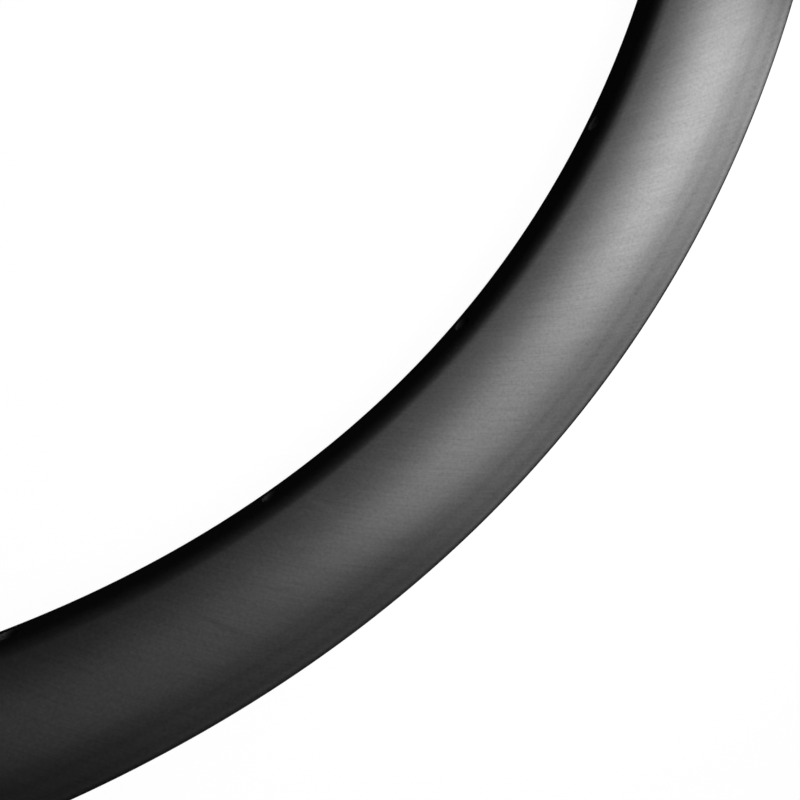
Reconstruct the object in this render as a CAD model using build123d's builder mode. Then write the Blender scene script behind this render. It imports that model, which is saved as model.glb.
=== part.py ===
from build123d import *
import os
from math import atan2, cos, degrees, radians, sin, tan

# Deep-section carbon rim for a 700C disc-brake wheel, moulded in one piece.
# It lies on its side: the wheel's axis is +Z through the origin, and the valve hole points along +Y.
# All sizes are in millimetres. In the section, r is the distance from the axis and z the distance
# from the rim's mid-plane.

# Driving sizes of the tyre side
bead_seat_diameter = 622.0
flange_height = 5.5
flange_wall = 2.6
well_depth = 3.0
well_width = 11.0
ramp_width = 1.9
hump_height = 0.4
hump_width = 0.7

# Driving sizes of the outer form
rim_depth = 40.5
rim_width = 29.0
crest_width = 7.0
nose_radius = 5.5
belly_share = 0.68
upper_wall_lean = 3.0
flange_outer_edge = 1.0
flange_inner_edge = 0.6

# Driving sizes of the laminate
nose_wall = 2.5
side_wall = 0.9
bed_wall = 1.2

# Driving sizes of the drilling
spoke_count = 24
spoke_hole_diameter = 4.5
spoke_tilt = 3.0
access_hole_diameter = 7.0
valve_hole_diameter = 6.5
valve_angle = 90.0

# Radii and half widths that follow from the driving sizes
seat_r = bead_seat_diameter / 2
flange_r = seat_r + flange_height
nose_r = flange_r - rim_depth
belly_height = belly_share * rim_depth
belly_r = nose_r + belly_height
well_r = seat_r - well_depth
half_width = rim_width / 2
half_crest = crest_width / 2
half_well = well_width / 2
hump_z = half_well + ramp_width

# The lower side wall is one arc that runs on from the nose arc, is upright at the widest place,
# and leans in a little before the straight upper wall takes over.
nose_to_belly = belly_height - nose_radius
nose_to_side = half_width - half_crest
lower_wall_radius = (nose_to_side**2 + nose_to_belly**2 - nose_radius**2) / (2 * (nose_to_side - nose_radius))
nose_angle = degrees(atan2(lower_wall_radius - nose_to_side, nose_to_belly))
lower_wall_angle = 90 - nose_angle + upper_wall_lean
lean_slope = tan(radians(upper_wall_lean))
lean_start_r = belly_r + lower_wall_radius * sin(radians(upper_wall_lean))
lean_start_z = half_width - lower_wall_radius * (1 - cos(radians(upper_wall_lean)))
flange_z = lean_start_z - (flange_r - lean_start_r) * lean_slope
half_inner = flange_z - flange_wall

# The laminate under the tyre bed, and how far its ramp moves out to keep its thickness
seat_roof_r = seat_r - bed_wall
well_roof_r = well_r - bed_wall
ramp_shift = bed_wall / 2
spoke_pitch = 360 / spoke_count


def inside_of(wall, share):
    """The point on the inner face of the laminate, square to the outer wall at this share of its length."""
    along = wall % share
    return wall @ share + Vector(along.Y, -along.X) * side_wall


def drill_plane(angle, tilt, height):
    """The plane across a drilled line, at this height over the nose's mid-line, where the line starts."""
    a = radians(angle)
    t = radians(tilt)
    outward = Vector(cos(t) * cos(a), cos(t) * sin(a), sin(t))
    nose_point = Vector(nose_r * cos(a), nose_r * sin(a), 0)
    return Plane(origin=nose_point + outward * height, z_dir=outward)


def spoke_planes(height):
    """One plane on each spoke's line. The lines lean to the two flanges in turn."""
    planes = []
    for k in range(spoke_count):
        side = 1 if k % 2 == 0 else -1
        planes.append(drill_plane(valve_angle + (k + 0.5) * spoke_pitch, side * spoke_tilt, height))
    return planes


with BuildPart() as rim:
    with BuildSketch(Plane.XZ) as section:
        # Half of the outer contour, from the nose round the side wall and flange to the middle of the well
        with BuildLine():
            crest = Line((nose_r, 0), (nose_r, half_crest))
            nose = JernArc(crest @ 1, crest % 1, nose_radius, -nose_angle)
            lower_wall = JernArc(nose @ 1, nose % 1, lower_wall_radius, -lower_wall_angle)
            Polyline(
                lower_wall @ 1,
                (flange_r, flange_z),
                (flange_r, half_inner),
                (seat_r, half_inner),
                (seat_r, hump_z + hump_width),
                (seat_r + hump_height, hump_z),
                (well_r, half_well),
                (well_r, 0),
            )
            mirror(about=Plane.XZ)
        make_face()
        flange_corners = section.vertices().group_by(Axis.X)[-1].sort_by(Axis.Y)
        chamfer(flange_corners[1:3], length=flange_inner_edge)
        flange_corners = section.vertices().group_by(Axis.X)[-1].sort_by(Axis.Y)
        chamfer([flange_corners[0], flange_corners[-1]], length=flange_outer_edge)
        # The cavity: thick at the nose for the spokes, thin and even along the side walls and the tyre bed
        with BuildLine():
            wall_top = inside_of(lower_wall, 1)
            Polyline(
                (nose_r + nose_wall, 0),
                (nose_r + nose_wall, half_crest),
                inside_of(nose, 1),
                inside_of(lower_wall, 1 / 3),
                inside_of(lower_wall, 2 / 3),
                wall_top,
                (seat_roof_r, wall_top.Y - (seat_roof_r - wall_top.X) * lean_slope),
                (seat_roof_r, hump_z + ramp_shift),
                (well_roof_r, half_well + ramp_shift),
                (well_roof_r, 0),
            )
            mirror(about=Plane.XZ)
        make_face(mode=Mode.SUBTRACT)
    revolve(axis=Axis.Z)
    # Each spoke's hole through the nose, and in line with it the wider hole in the tyre bed for the nipple
    with Locations(*spoke_planes(nose_wall / 2)):
        Hole(radius=spoke_hole_diameter / 2, depth=nose_wall)
    with Locations(*spoke_planes(well_r - bed_wall / 2 - nose_r)):
        Hole(radius=access_hole_diameter / 2, depth=2 * bed_wall)
    # The valve hole goes straight through both walls, midway between two spoke holes.
    with Locations(drill_plane(valve_angle, 0, rim_depth / 2)):
        Hole(radius=valve_hole_diameter / 2, depth=rim_depth)

rim.part.label = "rim"
rim.part.color = Color(0.05, 0.05, 0.055)

os.makedirs("parts", exist_ok=True)
export_step(rim.part, "parts/rim.step")
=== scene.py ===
# %% [markdown]
# # A deep carbon rim for a bicycle wheel
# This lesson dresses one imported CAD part: a hollow carbon hoop, moulded in one piece and drilled for
# spokes and a valve. The CAD part fixes every size and the frame, with the wheel's axis along Z and the
# valve hole on +Y. Here the same section is drawn again, finer and with softened edges, and it gets
# the fibre finish that the photograph shows.

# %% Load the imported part
from math import atan2, cos, degrees, hypot, pi, radians, sin, tan

import bmesh
import bpy
from mathutils import Matrix, Vector


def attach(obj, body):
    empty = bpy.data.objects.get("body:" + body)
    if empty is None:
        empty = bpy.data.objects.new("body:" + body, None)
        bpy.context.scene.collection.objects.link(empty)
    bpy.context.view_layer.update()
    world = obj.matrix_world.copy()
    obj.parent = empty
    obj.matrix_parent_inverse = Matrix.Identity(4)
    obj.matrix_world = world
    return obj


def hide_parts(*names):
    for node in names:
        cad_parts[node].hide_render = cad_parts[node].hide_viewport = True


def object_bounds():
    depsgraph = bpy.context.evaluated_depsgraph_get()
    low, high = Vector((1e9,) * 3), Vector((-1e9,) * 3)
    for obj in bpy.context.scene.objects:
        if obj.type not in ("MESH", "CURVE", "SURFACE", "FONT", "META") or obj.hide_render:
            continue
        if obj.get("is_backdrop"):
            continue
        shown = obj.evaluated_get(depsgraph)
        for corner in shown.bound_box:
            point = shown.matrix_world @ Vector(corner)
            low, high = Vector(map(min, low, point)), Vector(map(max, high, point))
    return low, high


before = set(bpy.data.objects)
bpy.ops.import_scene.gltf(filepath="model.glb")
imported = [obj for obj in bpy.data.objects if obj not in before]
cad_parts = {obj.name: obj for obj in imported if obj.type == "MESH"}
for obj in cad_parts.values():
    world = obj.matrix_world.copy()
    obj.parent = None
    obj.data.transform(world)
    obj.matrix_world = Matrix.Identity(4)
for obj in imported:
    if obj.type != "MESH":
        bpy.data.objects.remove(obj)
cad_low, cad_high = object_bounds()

print("CAD box in mm:", [round(1000 * c, 1) for c in (*cad_low, *cad_high)])

# %% [markdown]
# ## The section
# A rim is one section turned about the wheel's axis, so nearly all of its form is in that section.
# It could be traced from a list of points, but a maker thinks in radii and wall heights, so the
# sizes below are the driving sizes of the part, in millimetres. r is the distance from the axis
# and z the distance from the mid-plane.

# %% Sizes of the section
mm = 0.001
bead_seat_diameter = 622.0
flange_height, flange_wall = 5.5, 2.6
well_depth, well_width, ramp_width = 3.0, 11.0, 1.9
hump_height, hump_width = 0.4, 0.7
rim_depth, rim_width = 40.5, 29.0
crest_width, nose_radius, belly_share, upper_wall_lean = 7.0, 5.5, 0.68, radians(3.0)
nose_wall, side_wall, bed_wall = 2.5, 0.9, 1.2

seat_r = bead_seat_diameter / 2
flange_r = seat_r + flange_height
nose_r = flange_r - rim_depth
belly_r = nose_r + belly_share * rim_depth
well_r = seat_r - well_depth
half_width, half_crest, half_well = rim_width / 2, crest_width / 2, well_width / 2
hump_z = half_well + ramp_width

nose_to_belly = belly_share * rim_depth - nose_radius
nose_to_side = half_width - half_crest
wall_radius = (nose_to_side**2 + nose_to_belly**2 - nose_radius**2) / (2 * (nose_to_side - nose_radius))
nose_turn = atan2(wall_radius - nose_to_side, nose_to_belly)
wall_turn = pi / 2 - nose_turn + upper_wall_lean
lean_r = belly_r + wall_radius * sin(upper_wall_lean)
lean_z = half_width - wall_radius * (1 - cos(upper_wall_lean))
flange_z = lean_z - (flange_r - lean_r) * tan(upper_wall_lean)
half_inner = flange_z - flange_wall
print(f"side wall radius {wall_radius:.1f}, flange outside at z {flange_z:.2f}, inside at {half_inner:.2f}")

# %% [markdown]
# ## A pen for sections
# A section is a wire. Each stroke grows it from its tip: a straight stroke extrudes the tip vertex,
# and a curved stroke spins the tip about the centre of the arc, which gives a true arc with as many
# steps as it needs. A corner is rounded afterwards with a bevel on its vertex.

# %% Pen strokes
class Pen:
    """Draws half a section as a wire in the XZ plane, in millimetres."""

    def __init__(self, r, z):
        self.bm = bmesh.new()
        self.tip = bmesh.ops.create_vert(self.bm, co=Vector((r, 0, z)) * mm)["vert"][0]

    def line(self, r, z):
        self.tip = bmesh.ops.extrude_vert_indiv(self.bm, verts=[self.tip])["verts"][0]
        self.tip.co = Vector((r, 0, z)) * mm
        return self.tip

    def arc(self, centre_r, centre_z, turn, steps):
        centre = Vector((centre_r, 0, centre_z)) * mm
        grown = bmesh.ops.spin(
            self.bm, geom=[self.tip], cent=centre, axis=(0, 1, 0), dvec=(0, 0, 0), angle=turn, steps=steps
        )
        self.tip = next(g for g in grown["geom_last"] if isinstance(g, bmesh.types.BMVert))
        return self.tip

    def soften(self, corners, offset, segments):
        bmesh.ops.bevel(
            self.bm, geom=corners, offset=offset * mm, offset_type="OFFSET", affect="VERTICES",
            segments=segments, profile=0.5, material=-1,
        )


# %% [markdown]
# ## The outer skin in section
# The pen starts in the middle of the nose, goes round the nose and the bulged side wall, over the
# tyre flange and down to the middle of the tyre well. The CAD part has chamfers on the flange, where
# a real moulding has small radii that catch a thin line of light, so the corners are rounded here.

# %% Half of the outer skin
nose_steps, wall_steps = 10, 16
outer_round, inner_round, corner_round, hump_round = 1.0, 0.6, 0.5, 0.25

skin = Pen(nose_r, 0)
skin.line(nose_r, half_crest)
skin.arc(nose_r + nose_radius, half_crest, nose_turn, nose_steps)
skin.arc(belly_r, half_width - wall_radius, wall_turn, wall_steps)
skin.line(lean_r + (flange_r - lean_r) / 2, (lean_z + flange_z) / 2)
outer_edge = skin.line(flange_r, flange_z)
inner_edge = skin.line(flange_r, half_inner)
seat_corner = skin.line(seat_r, half_inner)
hump_foot = skin.line(seat_r, hump_z + hump_width)
hump_top = skin.line(seat_r + hump_height, hump_z)
well_corner = skin.line(well_r, half_well)
skin.line(well_r, 0)
skin.soften([outer_edge], outer_round, segments=5)
skin.soften([inner_edge], inner_round, segments=4)
skin.soften([seat_corner, well_corner], corner_round, segments=3)
skin.soften([hump_foot, hump_top], hump_round, segments=2)
print("outer skin, half section:", len(skin.bm.verts), "points")

# %% [markdown]
# ## The cavity in section
# The rim is hollow. The laminate is thick at the nose, where the spokes pull, and thin along the
# side walls and under the tyre. Only a little of the cavity shows, through the drilled holes.

# %% Half of the cavity
lining_radius, lining_steps = wall_radius - side_wall, 8
wall_foot_r = belly_r - cos(nose_turn) * lining_radius
wall_foot_z = half_width - wall_radius + sin(nose_turn) * lining_radius

cavity = Pen(nose_r + nose_wall, 0)
cavity.line(nose_r + nose_wall, half_crest)
cavity.line(wall_foot_r, wall_foot_z)
cavity.arc(belly_r, half_width - wall_radius, wall_turn, lining_steps)
wall_top = cavity.tip.co / mm
roof_r = seat_r - bed_wall
cavity.line(roof_r, wall_top.z - (roof_r - wall_top.x) * tan(upper_wall_lean))
cavity.line(roof_r, hump_z + bed_wall / 2)
cavity.line(well_r - bed_wall, half_well + bed_wall / 2)
cavity.line(well_r - bed_wall, 0)
print("cavity, half section:", len(cavity.bm.verts), "points")

# %% [markdown]
# ## From a section to a hoop
# The half section is mirrored to the whole, and one full spin about the wheel's axis makes the hoop.
# Before that, each point of the wire is given its distance along the section from the middle of the
# nose. The spin copies that value, and it becomes one of the two directions of the fibre pattern.

# %% Hoop helpers
hoop_steps = 480
merge_gap = 0.0005 * mm


def measure_girth(bm):
    """Stores each point's distance along the half section from the middle of the nose."""
    girth = bm.verts.layers.float.new("girth")
    here = min(bm.verts, key=lambda v: (round(v.co.z, 6), v.co.x))
    seen, length = {here}, 0.0
    while True:
        here[girth] = length
        ahead = [e.other_vert(here) for e in here.link_edges if e.other_vert(here) not in seen]
        if not ahead:
            return length
        length += (ahead[0].co - here.co).length
        here = ahead[0]
        seen.add(here)


def turn_hoop(bm, name, inside_out):
    """Mirrors a half section, spins it into a closed hoop and returns it as a mesh."""
    bmesh.ops.mirror(bm, geom=bm.verts[:] + bm.edges[:], axis="Z", merge_dist=2 * merge_gap)
    bmesh.ops.spin(
        bm, geom=bm.verts[:] + bm.edges[:], cent=(0, 0, 0), axis=(0, 0, 1), dvec=(0, 0, 0),
        angle=2 * pi, steps=hoop_steps, use_merge=True,
    )
    bmesh.ops.remove_doubles(bm, verts=bm.verts[:], dist=merge_gap)
    bmesh.ops.recalc_face_normals(bm, faces=bm.faces[:])
    if inside_out:
        bmesh.ops.reverse_faces(bm, faces=bm.faces[:])
    mesh = bpy.data.meshes.new(name)
    bm.to_mesh(mesh)
    bm.free()
    return mesh


# %% Spin the skin and the cavity
half_girth = measure_girth(skin.bm)
measure_girth(cavity.bm)
skin_mesh = turn_hoop(skin.bm, "skin", inside_out=False)
cavity_mesh = turn_hoop(cavity.bm, "cavity", inside_out=True)
print(f"skin {len(skin_mesh.polygons)} faces, cavity {len(cavity_mesh.polygons)} faces")
print(f"half girth {half_girth / mm:.1f} mm")

# %% [markdown]
# ## Two directions for the fibre
# The fibre pattern has to follow the hoop, so the rim gets its own UV map in metres: u runs round the
# hoop and v runs over the section from the middle of the nose, up on one side and down on the other.
# The map is cut where the valve hole is, because there the real layers of fibre are joined too.

# %% UV map that follows the hoop
mid_radius = 0.5 * (nose_r + flange_r) * mm
seam_angle = pi / 2


def around(point):
    """The angle of a point round the hoop, counted from the seam."""
    return (atan2(point.y, point.x) - seam_angle) % (2 * pi)


def lay_uv(bm):
    """Fills the UV map from each point's angle and girth."""
    girth = bm.verts.layers.float["girth"]
    uv = bm.loops.layers.uv.new("hoop")
    for face in bm.faces:
        middle = face.calc_center_median()
        side = 1 if middle.z > 0 else -1
        base = around(middle)
        for loop in face.loops:
            offset = (around(loop.vert.co) - base + pi) % (2 * pi) - pi
            loop[uv].uv = ((base + offset) * mid_radius, side * loop.vert[girth])


rim_bm = bmesh.new()
rim_bm.from_mesh(skin_mesh)
skin_faces = len(rim_bm.faces)
rim_bm.from_mesh(cavity_mesh)
lay_uv(rim_bm)
print("UV map laid on", len(rim_bm.faces), "faces")

# %% [markdown]
# ## Finishes as face groups
# Three finishes meet on this one moulding: the matte skin outside, the raw laminate of the tyre bed
# and the cavity, and the cut edges of the drilled holes. The materials come later, so the faces only
# get the number of their slot here.

# %% Number the finishes
skin_slot, raw_slot, drilled_slot = 0, 1, 2
channel_z, channel_r = half_inner + 0.05, well_r - 0.2
rim_bm.faces.ensure_lookup_table()
for index, face in enumerate(rim_bm.faces):
    middle = face.calc_center_median() / mm
    in_channel = abs(middle.z) < channel_z and hypot(middle.x, middle.y) > channel_r
    face.material_index = raw_slot if index >= skin_faces or in_channel else skin_slot
raw_faces = sum(face.material_index == raw_slot for face in rim_bm.faces)
print(len(rim_bm.faces) - raw_faces, "faces of skin and", raw_faces, "of raw laminate")
blank_mesh = bpy.data.meshes.new("rim_blank")
rim_bm.to_mesh(blank_mesh)
rim_bm.free()

# %% [markdown]
# ## Drilling
# Each spoke passes a small hole in the nose, and its nipple goes in through a wider hole in the tyre
# bed on the same line. The lines lean to the two hub flanges in turn. A drill is one more spun
# profile, a little wider where it meets the surface, so that it leaves a broken edge as a
# deburring tool does. All the drills are taken away from the moulding in one Boolean.

# %% Drill helpers
burr, clear, drill_steps = 0.25, 3.0, 40


def drill(name, strokes):
    """A closed drill about Z from (radius, height) strokes in millimetres."""
    pen = Pen(0, strokes[0][1])
    for radius, height in strokes:
        pen.line(radius, height)
    pen.line(0, strokes[-1][1])
    bmesh.ops.spin(
        pen.bm, geom=pen.bm.verts[:] + pen.bm.edges[:], cent=(0, 0, 0), axis=(0, 0, 1), dvec=(0, 0, 0),
        angle=2 * pi, steps=drill_steps, use_merge=True,
    )
    bmesh.ops.remove_doubles(pen.bm, verts=pen.bm.verts[:], dist=merge_gap)
    bmesh.ops.recalc_face_normals(pen.bm, faces=pen.bm.faces[:])
    mesh = bpy.data.meshes.new(name)
    pen.bm.to_mesh(mesh)
    pen.bm.free()
    return mesh


def flare_in(radius, past=0.3):
    """The wider start of a drill, which breaks the edge on the nose."""
    wide = radius + burr + past
    return [(wide, -clear), (wide, -past), (radius, burr)]


def flare_out(radius, height, past=0.3):
    """The wider end of a drill, which breaks the edge in the tyre bed."""
    wide = radius + burr + past
    return [(radius, height - burr), (wide, height + past), (wide, height + clear)]


# %% Drill profiles
spoke_count, spoke_tilt, valve_angle = 24, radians(3.0), pi / 2
spoke_hole, access_hole, valve_hole = 2.25, 3.5, 3.25
bed_height = (well_r - nose_r) / cos(spoke_tilt)
step_low, step_high = 14.0, 16.0

spoke_step = [(spoke_hole, step_low), (access_hole, step_high)]
spoke_drill = drill(
    "spoke_drill", [*flare_in(spoke_hole), *spoke_step, *flare_out(access_hole, bed_height, past=0.05)]
)
valve_drill = drill("valve_drill", [*flare_in(valve_hole), *flare_out(valve_hole, well_r - nose_r)])
print("faces on a drill:", len(spoke_drill.polygons), len(valve_drill.polygons))


# %% Place the drills
def drilled_line(angle, tilt):
    """Places a drill on the nose at this angle, its length pointing outwards."""
    outward = Vector((cos(tilt) * cos(angle), cos(tilt) * sin(angle), sin(tilt)))
    turn = outward.to_track_quat("Z", "Y").to_matrix().to_4x4()
    return Matrix.Translation(Vector((nose_r * cos(angle), nose_r * sin(angle), 0)) * mm) @ turn


drills_bm = bmesh.new()
for k in range(spoke_count):
    lean = spoke_tilt if k % 2 == 0 else -spoke_tilt
    placed = spoke_drill.copy()
    placed.transform(drilled_line(valve_angle + (k + 0.5) * 2 * pi / spoke_count, lean))
    drills_bm.from_mesh(placed)
placed = valve_drill.copy()
placed.transform(drilled_line(valve_angle, 0))
drills_bm.from_mesh(placed)
for face in drills_bm.faces:
    face.material_index = drilled_slot
drills_mesh = bpy.data.meshes.new("drills")
drills_bm.to_mesh(drills_mesh)
drills_bm.free()
print(spoke_count, "spoke drills and a valve drill:", len(drills_mesh.polygons), "faces")


# %% Drill the moulding
def apply_modifiers(piece):
    """Turns a piece and its modifiers into one plain mesh."""
    depsgraph = bpy.context.evaluated_depsgraph_get()
    mesh = bpy.data.meshes.new_from_object(piece.evaluated_get(depsgraph), depsgraph=depsgraph)
    piece.modifiers.clear()
    piece.data = mesh
    mesh.name = piece.name
    return mesh


rim = bpy.data.objects.new("carbon_rim", blank_mesh)
drills = bpy.data.objects.new("drills", drills_mesh)
for piece in (rim, drills):
    bpy.context.scene.collection.objects.link(piece)
finishes = [bpy.data.materials.new(n) for n in ("matte_carbon_skin", "raw_laminate", "drilled_edge")]
for mesh in (blank_mesh, drills_mesh):
    for finish in finishes:
        mesh.materials.append(finish)
cut = rim.modifiers.new("drilling", "BOOLEAN")
cut.operation, cut.solver, cut.object, cut.material_mode = "DIFFERENCE", "EXACT", drills, "INDEX"
rim_mesh = apply_modifiers(rim)
bpy.data.objects.remove(drills)
print("drilled rim:", len(rim_mesh.polygons), "faces, slots", [m.name for m in rim_mesh.materials])

# %% [markdown]
# ## Smooth walls and crisp holes
# All faces are shaded smooth, so the hoop has no facets, and only the edges where two faces meet at
# a clear angle stay crisp. Those are the rims of the holes. A broad wall next to a small rounded edge
# would look pillowed, so the normals are weighted by area, which keeps the walls as flat as they are.

# %% Shading of the rim
crisp = radians(36)
rim_bm = bmesh.new()
rim_bm.from_mesh(rim_mesh)
for face in rim_bm.faces:
    face.smooth = True
for edge in rim_bm.edges:
    edge.smooth = not (edge.is_manifold and edge.calc_face_angle(0) > crisp)
open_edges = sum(1 for e in rim_bm.edges if not e.is_manifold)
volume = rim_bm.calc_volume(signed=True)
rim_bm.to_mesh(rim_mesh)
rim_bm.free()
weigh = rim.modifiers.new("weighted_normals", "WEIGHTED_NORMAL")
weigh.mode, weigh.weight, weigh.keep_sharp = "FACE_AREA", 100, True
rim_mesh = apply_modifiers(rim)
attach(rim, "root")
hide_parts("rim")
triangles = sum(len(p.vertices) - 2 for p in rim_mesh.polygons)
print(f"{triangles} triangles, {open_edges} open edges, {volume * 1e6:.1f} cm3 of laminate")

# %% [markdown]
# ## Node helpers
# A material is a small graph. The first helper makes one node, sets its options, and for each input
# either links a socket or stores a plain value, so that a graph reads as a list of steps. The others
# are the few steps that the graphs here share.

# %% Node helpers
def node(tree, kind, inputs=None, **options):
    """Adds a node. An input may be a socket to link or a value to store."""
    made = tree.nodes.new(kind)
    for name, value in options.items():
        setattr(made, name, value)
    for name, value in (inputs or {}).items():
        if isinstance(value, bpy.types.NodeSocket):
            tree.links.new(value, made.inputs[name])
        else:
            made.inputs[name].default_value = value
    return made


def maths(tree, operation, first, second=0.0):
    """One sum on two sockets or numbers."""
    return node(tree, "ShaderNodeMath", {0: first, 1: second}, operation=operation).outputs[0]


def times(tree, mask, amount):
    """A mask times a number."""
    return maths(tree, "MULTIPLY", mask, amount)


def swing(tree, mask, amount):
    """A mask about 0.5 as a swing about 0, this many times as large."""
    return times(tree, maths(tree, "SUBTRACT", mask, 0.5), amount)


def stretched(tree, vector, along, across):
    """The vector counted in cells that are this long and this wide, in metres."""
    scale = (1 / along, 1 / across, 1)
    return node(tree, "ShaderNodeMapping", {"Vector": vector, "Scale": scale}).outputs[0]


def noise(tree, vector, detail=2.0, roughness=0.5):
    """Noise with one bump per cell of the vector, as a value about 0.5."""
    settings = {"Vector": vector, "Scale": 1.0, "Detail": detail, "Roughness": roughness}
    return node(tree, "ShaderNodeTexNoise", settings, noise_dimensions="2D").outputs[0]


def ramp(tree, value, start, end, first, last):
    """A smooth change from the first number to the last as the value goes from start to end."""
    settings = {"Value": value, 1: start, 2: end, 3: first, 4: last}
    return node(tree, "ShaderNodeMapRange", settings, interpolation_type="SMOOTHSTEP").outputs[0]


# %% [markdown]
# ## The lay of the fibre
# The visible layer is unidirectional: straight fibres, no weave, laid at 45 degrees to the hoop. Up close
# that is a fine streak along the fibre, with broader bands where one tow lies beside the next, and here
# and there a faint line where one strip of fibre meets the next. A printed picture could show all that, but
# it would repeat and blur. Noise stretched along the fibre doesn't. The skin and the raw laminate both show
# the fibre, so it is a node group that turns the UV map by 45 degrees and gives three masks.

# %% Fibre group
fibre_angle, dash_share, thread_share = radians(45), 0.35, 0.65
fibre_lay = bpy.data.node_groups.new("fibre_lay", "ShaderNodeTree")
fibre_lay.interface.new_socket("Place", in_out="INPUT", socket_type="NodeSocketVector")
for mask in ("Streak", "Tow", "Ply Edge"):
    fibre_lay.interface.new_socket(mask, in_out="OUTPUT", socket_type="NodeSocketFloat")
place = node(fibre_lay, "NodeGroupInput").outputs["Place"]
settings = {"Vector": place, "Rotation": (0, 0, -fibre_angle)}
turned = node(fibre_lay, "ShaderNodeMapping", settings).outputs[0]
dashes = noise(fibre_lay, stretched(fibre_lay, turned, 1.5 * mm, 0.6 * mm), 2.0, 0.6)
threads = noise(fibre_lay, stretched(fibre_lay, turned, 14 * mm, 0.5 * mm), 3.0, 0.6)
dashed = times(fibre_lay, dashes, dash_share)
streak = maths(fibre_lay, "ADD", dashed, times(fibre_lay, threads, thread_share))
tow = noise(fibre_lay, stretched(fibre_lay, turned, 160 * mm, 4.5 * mm), 2.0, 0.5)
print("fibre turned by", round(degrees(fibre_angle)), "degrees")

# %% Strip edges in the fibre group
strip_width, strip_wander, edge_share = 31 * mm, 3 * mm, 0.014
fade_from, fade_to = 0.5, 0.66
wander = noise(fibre_lay, stretched(fibre_lay, turned, 90 * mm, 500 * mm), 1.0)
split = node(fibre_lay, "ShaderNodeSeparateXYZ", {0: turned})
across = maths(fibre_lay, "ADD", split.outputs["Y"], times(fibre_lay, wander, strip_wander))
strip = node(
    fibre_lay, "ShaderNodeTexVoronoi", {"W": maths(fibre_lay, "DIVIDE", across, strip_width), "Scale": 1.0},
    voronoi_dimensions="1D", feature="DISTANCE_TO_EDGE",
)
edge = ramp(fibre_lay, strip.outputs["Distance"], 0.0, edge_share, 1.0, 0.0)
fade = noise(fibre_lay, stretched(fibre_lay, turned, 22 * mm, 20 * mm), 1.0)
settings = {"Value": fade, 1: fade_from, 2: fade_to, 3: 0.0, 4: 1.0}
shown = node(fibre_lay, "ShaderNodeMapRange", settings).outputs[0]
node(fibre_lay, "NodeGroupOutput", {
    "Streak": streak, "Tow": tow, "Ply Edge": maths(fibre_lay, "MULTIPLY", edge, shown),
})
print("fibre group:", len(fibre_lay.nodes), "nodes")

# %% [markdown]
# ## The matte skin
# The skin is dark fibre under a satin coat. Graphite is a conductor, so a dark metal under a thin coat
# gives its grey sheen, and very little diffuse colour. The masks vary the colour and the gloss by a few
# percent, together with a fine speck from the coat and a soft mottling from the resin.
# Near the tyre flange the layers bunch up a little in the mould and leave faint rings, dark and light,
# that follow the hoop. A painted highlight runs as a light line along the foot of the rounded edge, and
# painted shade darkens the rounded edge itself. Three strips of fibre end on the stretch that the
# photograph shows, and each end is a short soft line.

# %% Material helpers
def fresh(material):
    """Empties a material's graph and returns it with its shader."""
    material.use_nodes = True
    tree = material.node_tree
    tree.nodes.clear()
    shader = node(tree, "ShaderNodeBsdfPrincipled")
    node(tree, "ShaderNodeOutputMaterial", {"Surface": shader.outputs[0]})
    return tree, shader


def hoop_place(tree):
    """The place on the rim's UV map."""
    return node(tree, "ShaderNodeUVMap", uv_map="hoop").outputs[0]


def dress(tree, shader, grey, roughness, relief, strength, depth):
    """Links a grey, a roughness and a relief of this depth to the shader."""
    colour = node(tree, "ShaderNodeCombineColor", {0: grey, 1: grey, 2: grey}).outputs[0]
    settings = {"Strength": strength, "Distance": depth, "Height": relief}
    bump = node(tree, "ShaderNodeBump", settings).outputs[0]
    for socket, source in (("Base Color", colour), ("Roughness", roughness), ("Normal", bump)):
        tree.links.new(source, shader.inputs[socket])


def ring(tree, value, centre, half_thick, strength):
    """A soft ring where the value is near the centre, as a mask."""
    away = maths(tree, "ABSOLUTE", maths(tree, "SUBTRACT", value, centre))
    return ramp(tree, away, 0.0, half_thick, strength, 0.0)


def strip_end(tree, place, u, v, turn, length, width, strength):
    """A short soft line at (u, v) on the UV map, turned by this many degrees, as a mask. Sizes in mm."""
    settings = {
        "Vector": place, "Location": (u * mm, v * mm, 0), "Rotation": (0, 0, radians(turn)),
        "Scale": (length * mm, width * mm, 1),
    }
    local = node(tree, "ShaderNodeMapping", settings, vector_type="TEXTURE").outputs[0]
    split = node(tree, "ShaderNodeSeparateXYZ", {0: local}).outputs
    along, across = (ring(tree, split[axis], 0.0, 1.0, 1.0) for axis in ("X", "Y"))
    return times(tree, maths(tree, "MULTIPLY", along, across), strength)


# %% Rings beside the flange
# a ring has a girth and half a thickness in millimetres, and a strength that is negative in a light ring
dark_rings = (35.2, 1.4, 0.45), (39.4, 1.7, 0.75), (44.2, 1.4, 0.9)
light_rings = (37.7, 1.4, -0.5), (41.7, 1.8, -0.25)
ring_drift, ring_least = 2.2 * mm, 0.1

tree, shader = fresh(finishes[skin_slot])
place = hoop_place(tree)
split = node(tree, "ShaderNodeSeparateXYZ", {0: place})
from_nose = maths(tree, "ABSOLUTE", split.outputs["Y"])
drift = noise(tree, stretched(tree, place, 50 * mm, 1000 * mm), 2.0)
girth = maths(tree, "ADD", from_nose, swing(tree, drift, ring_drift))
rings = 0.0
for centre, half_thick, strength in (*dark_rings, *light_rings):
    rings = maths(tree, "ADD", ring(tree, girth, centre * mm, half_thick * mm, strength), rings)
patchy = noise(tree, stretched(tree, place, 45 * mm, 6 * mm), 2.0)
rings = times(tree, rings, maths(tree, "ADD", patchy, ring_least))
print(len(dark_rings), "dark rings and", len(light_rings), "light ones")

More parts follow.
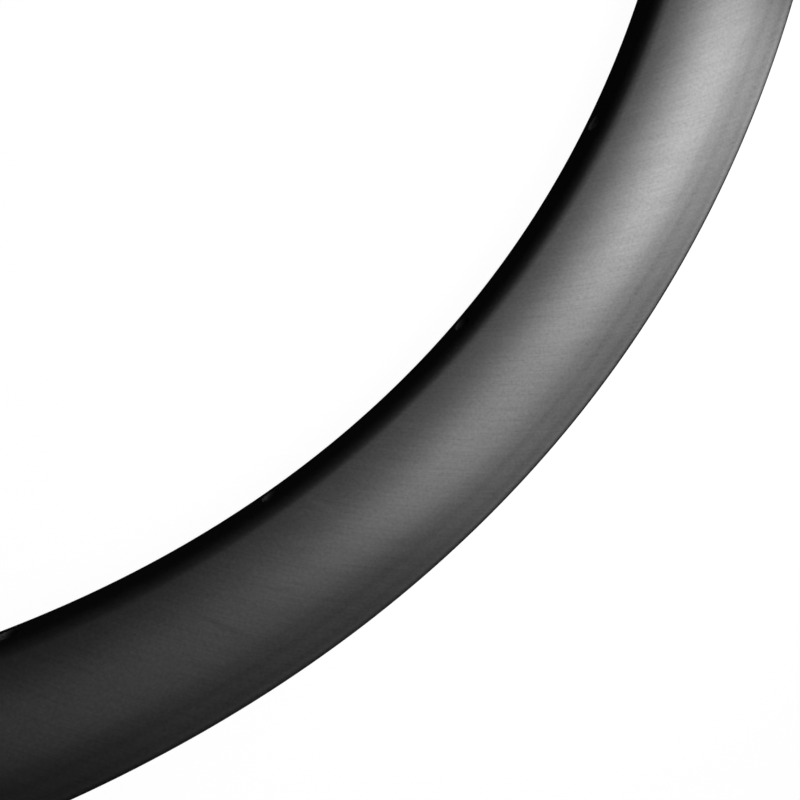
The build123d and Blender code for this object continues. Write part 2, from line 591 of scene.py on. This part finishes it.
# %% Shade of the skin
speck_size, mottle_size = 0.9 * mm, 4 * mm
lay = node(tree, "ShaderNodeGroup", {"Place": place}, node_tree=fibre_lay)
cloud = noise(tree, stretched(tree, place, 30 * mm, 20 * mm), 3.0)
mottle = noise(tree, stretched(tree, place, mottle_size, mottle_size), 2.0)
speck = noise(tree, stretched(tree, place, speck_size, speck_size), 2.0, 0.6)
amounts = (
    (lay.outputs["Streak"], 0.50), (lay.outputs["Tow"], 0.12), (speck, 0.43), (mottle, 0.08), (cloud, 0.10),
)
shade = 1.0
for mask, amount in amounts:
    shade = maths(tree, "ADD", swing(tree, mask, amount), shade)
print("shade from", len(amounts), "masks")

# %% Marks on the skin
# a strip end has u and v, an angle, a length and a width, and a strength that is negative in a light one
strip_ends = (
    (1095.0, 24.9, 55, 13.5, 1.5, 0.15),
    (1115.1, 26.0, 50, 17.6, 0.8, -0.07),
    (1133.8, 13.7, 64, 8.4, 1.4, -0.14),
)
ring_amount, ply_amount, edge_shade_amount = 0.14, 0.10, 0.32
# painted highlight: a light line where the flange edge starts to round over and would catch the lamps
highlight_girth, highlight_half_thick, highlight_amount = 46.0 * mm, 0.8 * mm, 0.14
# painted shade: the rounded flange edge is darkened in colour, as where it turns away to dark surroundings
edge_shade_start, edge_shade_end = 46.3 * mm, 47.1 * mm
marks = [
    *[strip_end(tree, place, *strip) for strip in strip_ends],
    times(tree, lay.outputs["Ply Edge"], ply_amount),
    times(tree, rings, ring_amount),
    # painted shade on the rounded flange edge
    ramp(tree, from_nose, edge_shade_start, edge_shade_end, 0.0, edge_shade_amount),
]
for mark in marks:
    shade = maths(tree, "SUBTRACT", shade, mark)
# painted highlight along the foot of the rounded edge
shade = maths(tree, "ADD", shade, ring(tree, from_nose, highlight_girth, highlight_half_thick, highlight_amount))
print(len(marks), "marks and the light line at the foot of the edge")

# %% Skin material
skin_colour, skin_metal, skin_roughness = 0.132, 0.97, 0.385
coat_weight, coat_roughness = 0.3, 0.385
grain_size, gloss_swing, streak_relief = 0.5 * mm, 0.05, 0.4
gloss = maths(tree, "ADD", skin_roughness, swing(tree, cloud, gloss_swing))
grain = noise(tree, stretched(tree, place, grain_size, grain_size), 2.0, 0.6)
relief = maths(tree, "ADD", grain, times(tree, lay.outputs["Streak"], streak_relief))
dress(tree, shader, times(tree, shade, skin_colour), gloss, relief, strength=0.08, depth=0.04 * mm)
shader.inputs["Metallic"].default_value = skin_metal
shader.inputs["Coat Weight"].default_value = coat_weight
shader.inputs["Coat Roughness"].default_value = coat_roughness
print("skin material:", len(tree.nodes), "nodes")

# %% [markdown]
# ## Raw laminate and cut edges
# Nobody coats the tyre bed: a peel cloth leaves a fine square grid in the resin there, duller than the
# outside. A drill leaves an edge of thin grey layers that lie parallel to the wall. Both are dark, so a
# little relief and roughness does most of the work.

# %% Raw laminate material
raw_metal, raw_roughness, uneven_roughness = 0.3, 0.5, 0.2
cloud_grey, streak_grey, grid_grey = 0.07, 0.05, 0.03
cloth_cell, cloth_scale = 20 * mm, 5.0
tree, shader = fresh(finishes[raw_slot])
place = hoop_place(tree)
lay = node(tree, "ShaderNodeGroup", {"Place": place}, node_tree=fibre_lay)
cloth = {"Vector": stretched(tree, place, cloth_cell, cloth_cell), "Scale": cloth_scale}
threads = [node(tree, "ShaderNodeTexWave", cloth, bands_direction=way).outputs[1] for way in ("X", "Y")]
grid = maths(tree, "MULTIPLY", *threads)
cloud = noise(tree, stretched(tree, place, 25 * mm, 12 * mm), 3.0)
grey = maths(tree, "ADD", times(tree, cloud, cloud_grey), times(tree, lay.outputs["Streak"], streak_grey))
grey = maths(tree, "ADD", grey, times(tree, grid, grid_grey))
dull = maths(tree, "ADD", raw_roughness, times(tree, cloud, uneven_roughness))
dress(tree, shader, grey, dull, grid, strength=0.3, depth=0.08 * mm)
shader.inputs["Metallic"].default_value = raw_metal
print("raw laminate:", len(tree.nodes), "nodes")

# %% Drilled edge material
layers_per_metre = 6000.0
cut_grey, layer_grey, cut_roughness, layer_roughness = 0.024, 0.06, 0.45, 0.3
tree, shader = fresh(finishes[drilled_slot])
here = node(tree, "ShaderNodeTexCoord").outputs["Object"]
split = node(tree, "ShaderNodeSeparateXYZ", {0: here})
squares = [maths(tree, "MULTIPLY", split.outputs[a], split.outputs[a]) for a in ("X", "Y")]
from_axis = maths(tree, "SQRT", maths(tree, "ADD", *squares))
settings = {"W": from_axis, "Scale": layers_per_metre, "Detail": 1.0}
layers = node(tree, "ShaderNodeTexNoise", settings, noise_dimensions="1D").outputs[0]
grey = maths(tree, "ADD", cut_grey, times(tree, layers, layer_grey))
dull = maths(tree, "ADD", cut_roughness, times(tree, layers, layer_roughness))
dress(tree, shader, grey, dull, layers, strength=0.3, depth=0.05 * mm)
print("drilled edge:", len(tree.nodes), "nodes")

# %% [markdown]
# ## The studio
# The photograph shows the rim cut out on white, lit from beyond its upper right, in otherwise dark
# surroundings. So the floor is white to the camera and keeps a soft shadow, and to the rim itself it
# is very dim: a pale floor would mirror in the satin nose, which is black in the photograph.
# A soft box is a rectangular lamp that faces a place on the rim. Its level is counted so that at level 1
# a white card at that place would be just white, and a lamp with a narrow spread is turned down to match.

# %% Floor
floor_z, floor_size = cad_low.z - 0.3 * mm, 30.0
floor_bm = bmesh.new()
bmesh.ops.create_grid(floor_bm, x_segments=1, y_segments=1, size=floor_size)
bmesh.ops.translate(floor_bm, verts=floor_bm.verts[:], vec=(0, 0, floor_z))
floor_mesh = bpy.data.meshes.new("floor")
floor_bm.to_mesh(floor_mesh)
floor_bm.free()
floor = bpy.data.objects.new("floor", floor_mesh)
bpy.context.scene.collection.objects.link(floor)
floor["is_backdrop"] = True
print("floor at z", round(floor_z / mm, 2), "mm")

# %% Floor material
floor_glow, floor_shadow, floor_dim, floor_mirror = 0.97, 0.08, 0.002, 0.003


def grey_of(level):
    """A neutral colour of this level."""
    return (level, level, level, 1)


def seen_directly(tree):
    """1 for rays that come from the camera, also through something clear."""
    path = node(tree, "ShaderNodeLightPath").outputs
    return maths(tree, "MAXIMUM", path["Is Camera Ray"], path["Is Transmission Ray"])


pale = bpy.data.materials.new("pale_floor")
pale.use_nodes = True
tree = pale.node_tree
tree.nodes.clear()
glow = node(tree, "ShaderNodeEmission", {"Color": grey_of(1), "Strength": floor_glow}).outputs[0]
shadowed = node(tree, "ShaderNodeBsdfDiffuse", {"Color": grey_of(floor_shadow)}).outputs[0]
to_camera = node(tree, "ShaderNodeAddShader", {0: glow, 1: shadowed}).outputs[0]
to_object = node(tree, "ShaderNodeBsdfDiffuse", {"Color": grey_of(floor_dim)}).outputs[0]
mirrored = node(tree, "ShaderNodeEmission", {"Color": grey_of(1), "Strength": floor_mirror}).outputs[0]
glossy = node(tree, "ShaderNodeLightPath").outputs["Is Glossy Ray"]
unseen = node(tree, "ShaderNodeMixShader", {0: glossy, 1: to_object, 2: mirrored}).outputs[0]
mixed = node(tree, "ShaderNodeMixShader", {0: seen_directly(tree), 1: unseen, 2: to_camera}).outputs[0]
node(tree, "ShaderNodeOutputMaterial", {"Surface": mixed})
floor_mesh.materials.append(pale)
print("floor material:", len(tree.nodes), "nodes")

# %% World
backdrop_glow, room_glow = 1.0, 0.004
world = bpy.data.worlds.new("studio")
bpy.context.scene.world = world
world.use_nodes = True
tree = world.node_tree
tree.nodes.clear()
backdrop = node(tree, "ShaderNodeBackground", {"Color": grey_of(1), "Strength": backdrop_glow}).outputs[0]
dim = node(tree, "ShaderNodeBackground", {"Color": grey_of(1), "Strength": room_glow}).outputs[0]
mixed = node(tree, "ShaderNodeMixShader", {0: seen_directly(tree), 1: dim, 2: backdrop}).outputs[0]
node(tree, "ShaderNodeOutputWorld", {"Surface": mixed})
bpy.context.scene.view_settings.view_transform = "Standard"
print("world:", len(tree.nodes), "nodes")


# %% Soft box
def soft_box(name, target, azimuth, elevation, distance, width, height, level, twist=0, spread=180):
    """A rectangular lamp that faces the target, with lengths in metres and angles in degrees."""
    azimuth, elevation, twist = radians(azimuth), radians(elevation), radians(twist)
    back = Vector((cos(elevation) * cos(azimuth), cos(elevation) * sin(azimuth), sin(elevation)))
    wide = (-back).cross(Vector((0, 0, 1))).normalized()
    high = wide.cross(-back)
    x = cos(twist) * wide + sin(twist) * high
    y = cos(twist) * high - sin(twist) * wide
    lamp = bpy.data.lights.new(name, "AREA")
    lamp.shape, lamp.size, lamp.size_y = "RECTANGLE", width, height
    cone = radians(spread / 2)
    narrowing = 1 - cone / tan(cone)
    lamp.energy, lamp.spread = level * (pi * distance) ** 2 * narrowing, 2 * cone
    holder = bpy.data.objects.new(name, lamp)
    turn = Matrix((x, y, back)).transposed().to_4x4()
    holder.matrix_world = Matrix.Translation(Vector(target) + back * distance) @ turn
    holder.visible_camera = False
    bpy.context.scene.collection.objects.link(holder)
    print(name, "at", [round(c, 2) for c in holder.location], "energy", round(lamp.energy, 2))


# %% [markdown]
# ## Light on the stretch in the photograph
# The highlight has three parts. The key box makes the broad sheen along the wall, the top box lights the
# wall further down to the left, and the small glint box sharpens the crest of the sheen. Two faint
# boxes, beyond the upper end and before the lower end, carry the sheen on past the edges of the photograph,
# and a faint one outside shows the flange and the tyre bed.

# %% Soft boxes for the stretch in the photograph
stretch, upper_end, lower_end = (0.21, -0.21, 0.0), (0.312, -0.035, 0.0), (0.085, -0.29, 0.0)
soft_box(
    "key", stretch, azimuth=37.7, elevation=52.8, distance=0.20,
    width=0.268, height=0.165, level=0.54, twist=-60.8,
)
soft_box(
    "top", stretch, azimuth=81.6, elevation=66.2, distance=0.20,
    width=0.225, height=0.605, level=0.36, twist=4.5,
)
soft_box(
    "glint", stretch, azimuth=47.1, elevation=39.0, distance=0.25,
    width=0.148, height=0.088, level=0.19, twist=-56.9,
)
soft_box(
    "beyond", upper_end, azimuth=13, elevation=43, distance=0.25,
    width=0.10, height=0.10, level=0.05,
)
soft_box(
    "before", lower_end, azimuth=144, elevation=77, distance=0.25,
    width=0.10, height=0.10, level=0.015, spread=60,
)
soft_box(
    "outside", stretch, azimuth=-45, elevation=12, distance=0.85,
    width=0.8, height=0.3, level=0.04,
)

# %% [markdown]
# ## Light on the rest of the hoop
# The rim is looked at from every side, and the boxes above leave the other three quarters black. Each
# quarter gets a box in the middle that shows the nose, one above that shows the wall, and a low strip
# outside that shows the tyre bed. Their narrow spread keeps them off the stretch in the photograph, and the
# low strips hide behind the hoop.

# %% Soft boxes for the rest of the hoop
quarters = ("far", -0.21, 0.21), ("right", 0.18, 0.24), ("left", -0.24, -0.18)
low_strip_z = 3 * mm
for name, x, y in quarters:
    outward = degrees(atan2(y, x))
    soft_box(
        name + "_inside", (x, y, 0.0), azimuth=outward + 180, elevation=25, distance=0.33,
        width=0.40, height=0.18, level=0.70, spread=80,
    )
    soft_box(
        name + "_above", (x, y, 0.0), azimuth=outward, elevation=60, distance=0.45,
        width=0.30, height=0.20, level=0.60, spread=60,
    )
    soft_box(
        name + "_low", (x, y, low_strip_z), azimuth=outward, elevation=0, distance=0.32,
        width=0.60, height=0.03, level=0.60,
    )

# %% [markdown]
# ## The camera
# The photograph is a close look at one stretch of the hoop. The place and direction below come from
# fitting the two edges of the rim and the spacing of its spoke holes, with a lens of 44.2 mm on a
# 36 mm sensor.

# %% Camera
eye = Vector((95.09, -170.17, 249.68)) * mm
ahead = Vector((0.39428, -0.07600, -0.91584)).normalized()
right = Vector((0.91659, 0.10445, 0.38594)).normalized()
up = right.cross(ahead)
lens = bpy.data.cameras.new("camera")
lens.sensor_width, lens.lens = 36.0, 44.16
lens.clip_start, lens.clip_end = 0.01, 100.0
camera = bpy.data.objects.new("camera", lens)
camera.matrix_world = Matrix.Translation(eye) @ Matrix((right, up, -ahead)).transposed().to_4x4()
bpy.context.scene.collection.objects.link(camera)
bpy.context.scene.camera = camera
print("camera at", [round(1000 * c, 1) for c in camera.location], "mm, lens", round(lens.lens, 2))

# %% [markdown]
# The dressed rim has to fill the same box as the CAD part. The upper corners of both boxes are printed.

# %% Print the boxes and finish
low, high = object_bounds()
for label, corner in (("CAD", cad_high), ("dressed", high)):
    print(label, "box up to", [round(c / mm, 2) for c in corner], "mm")
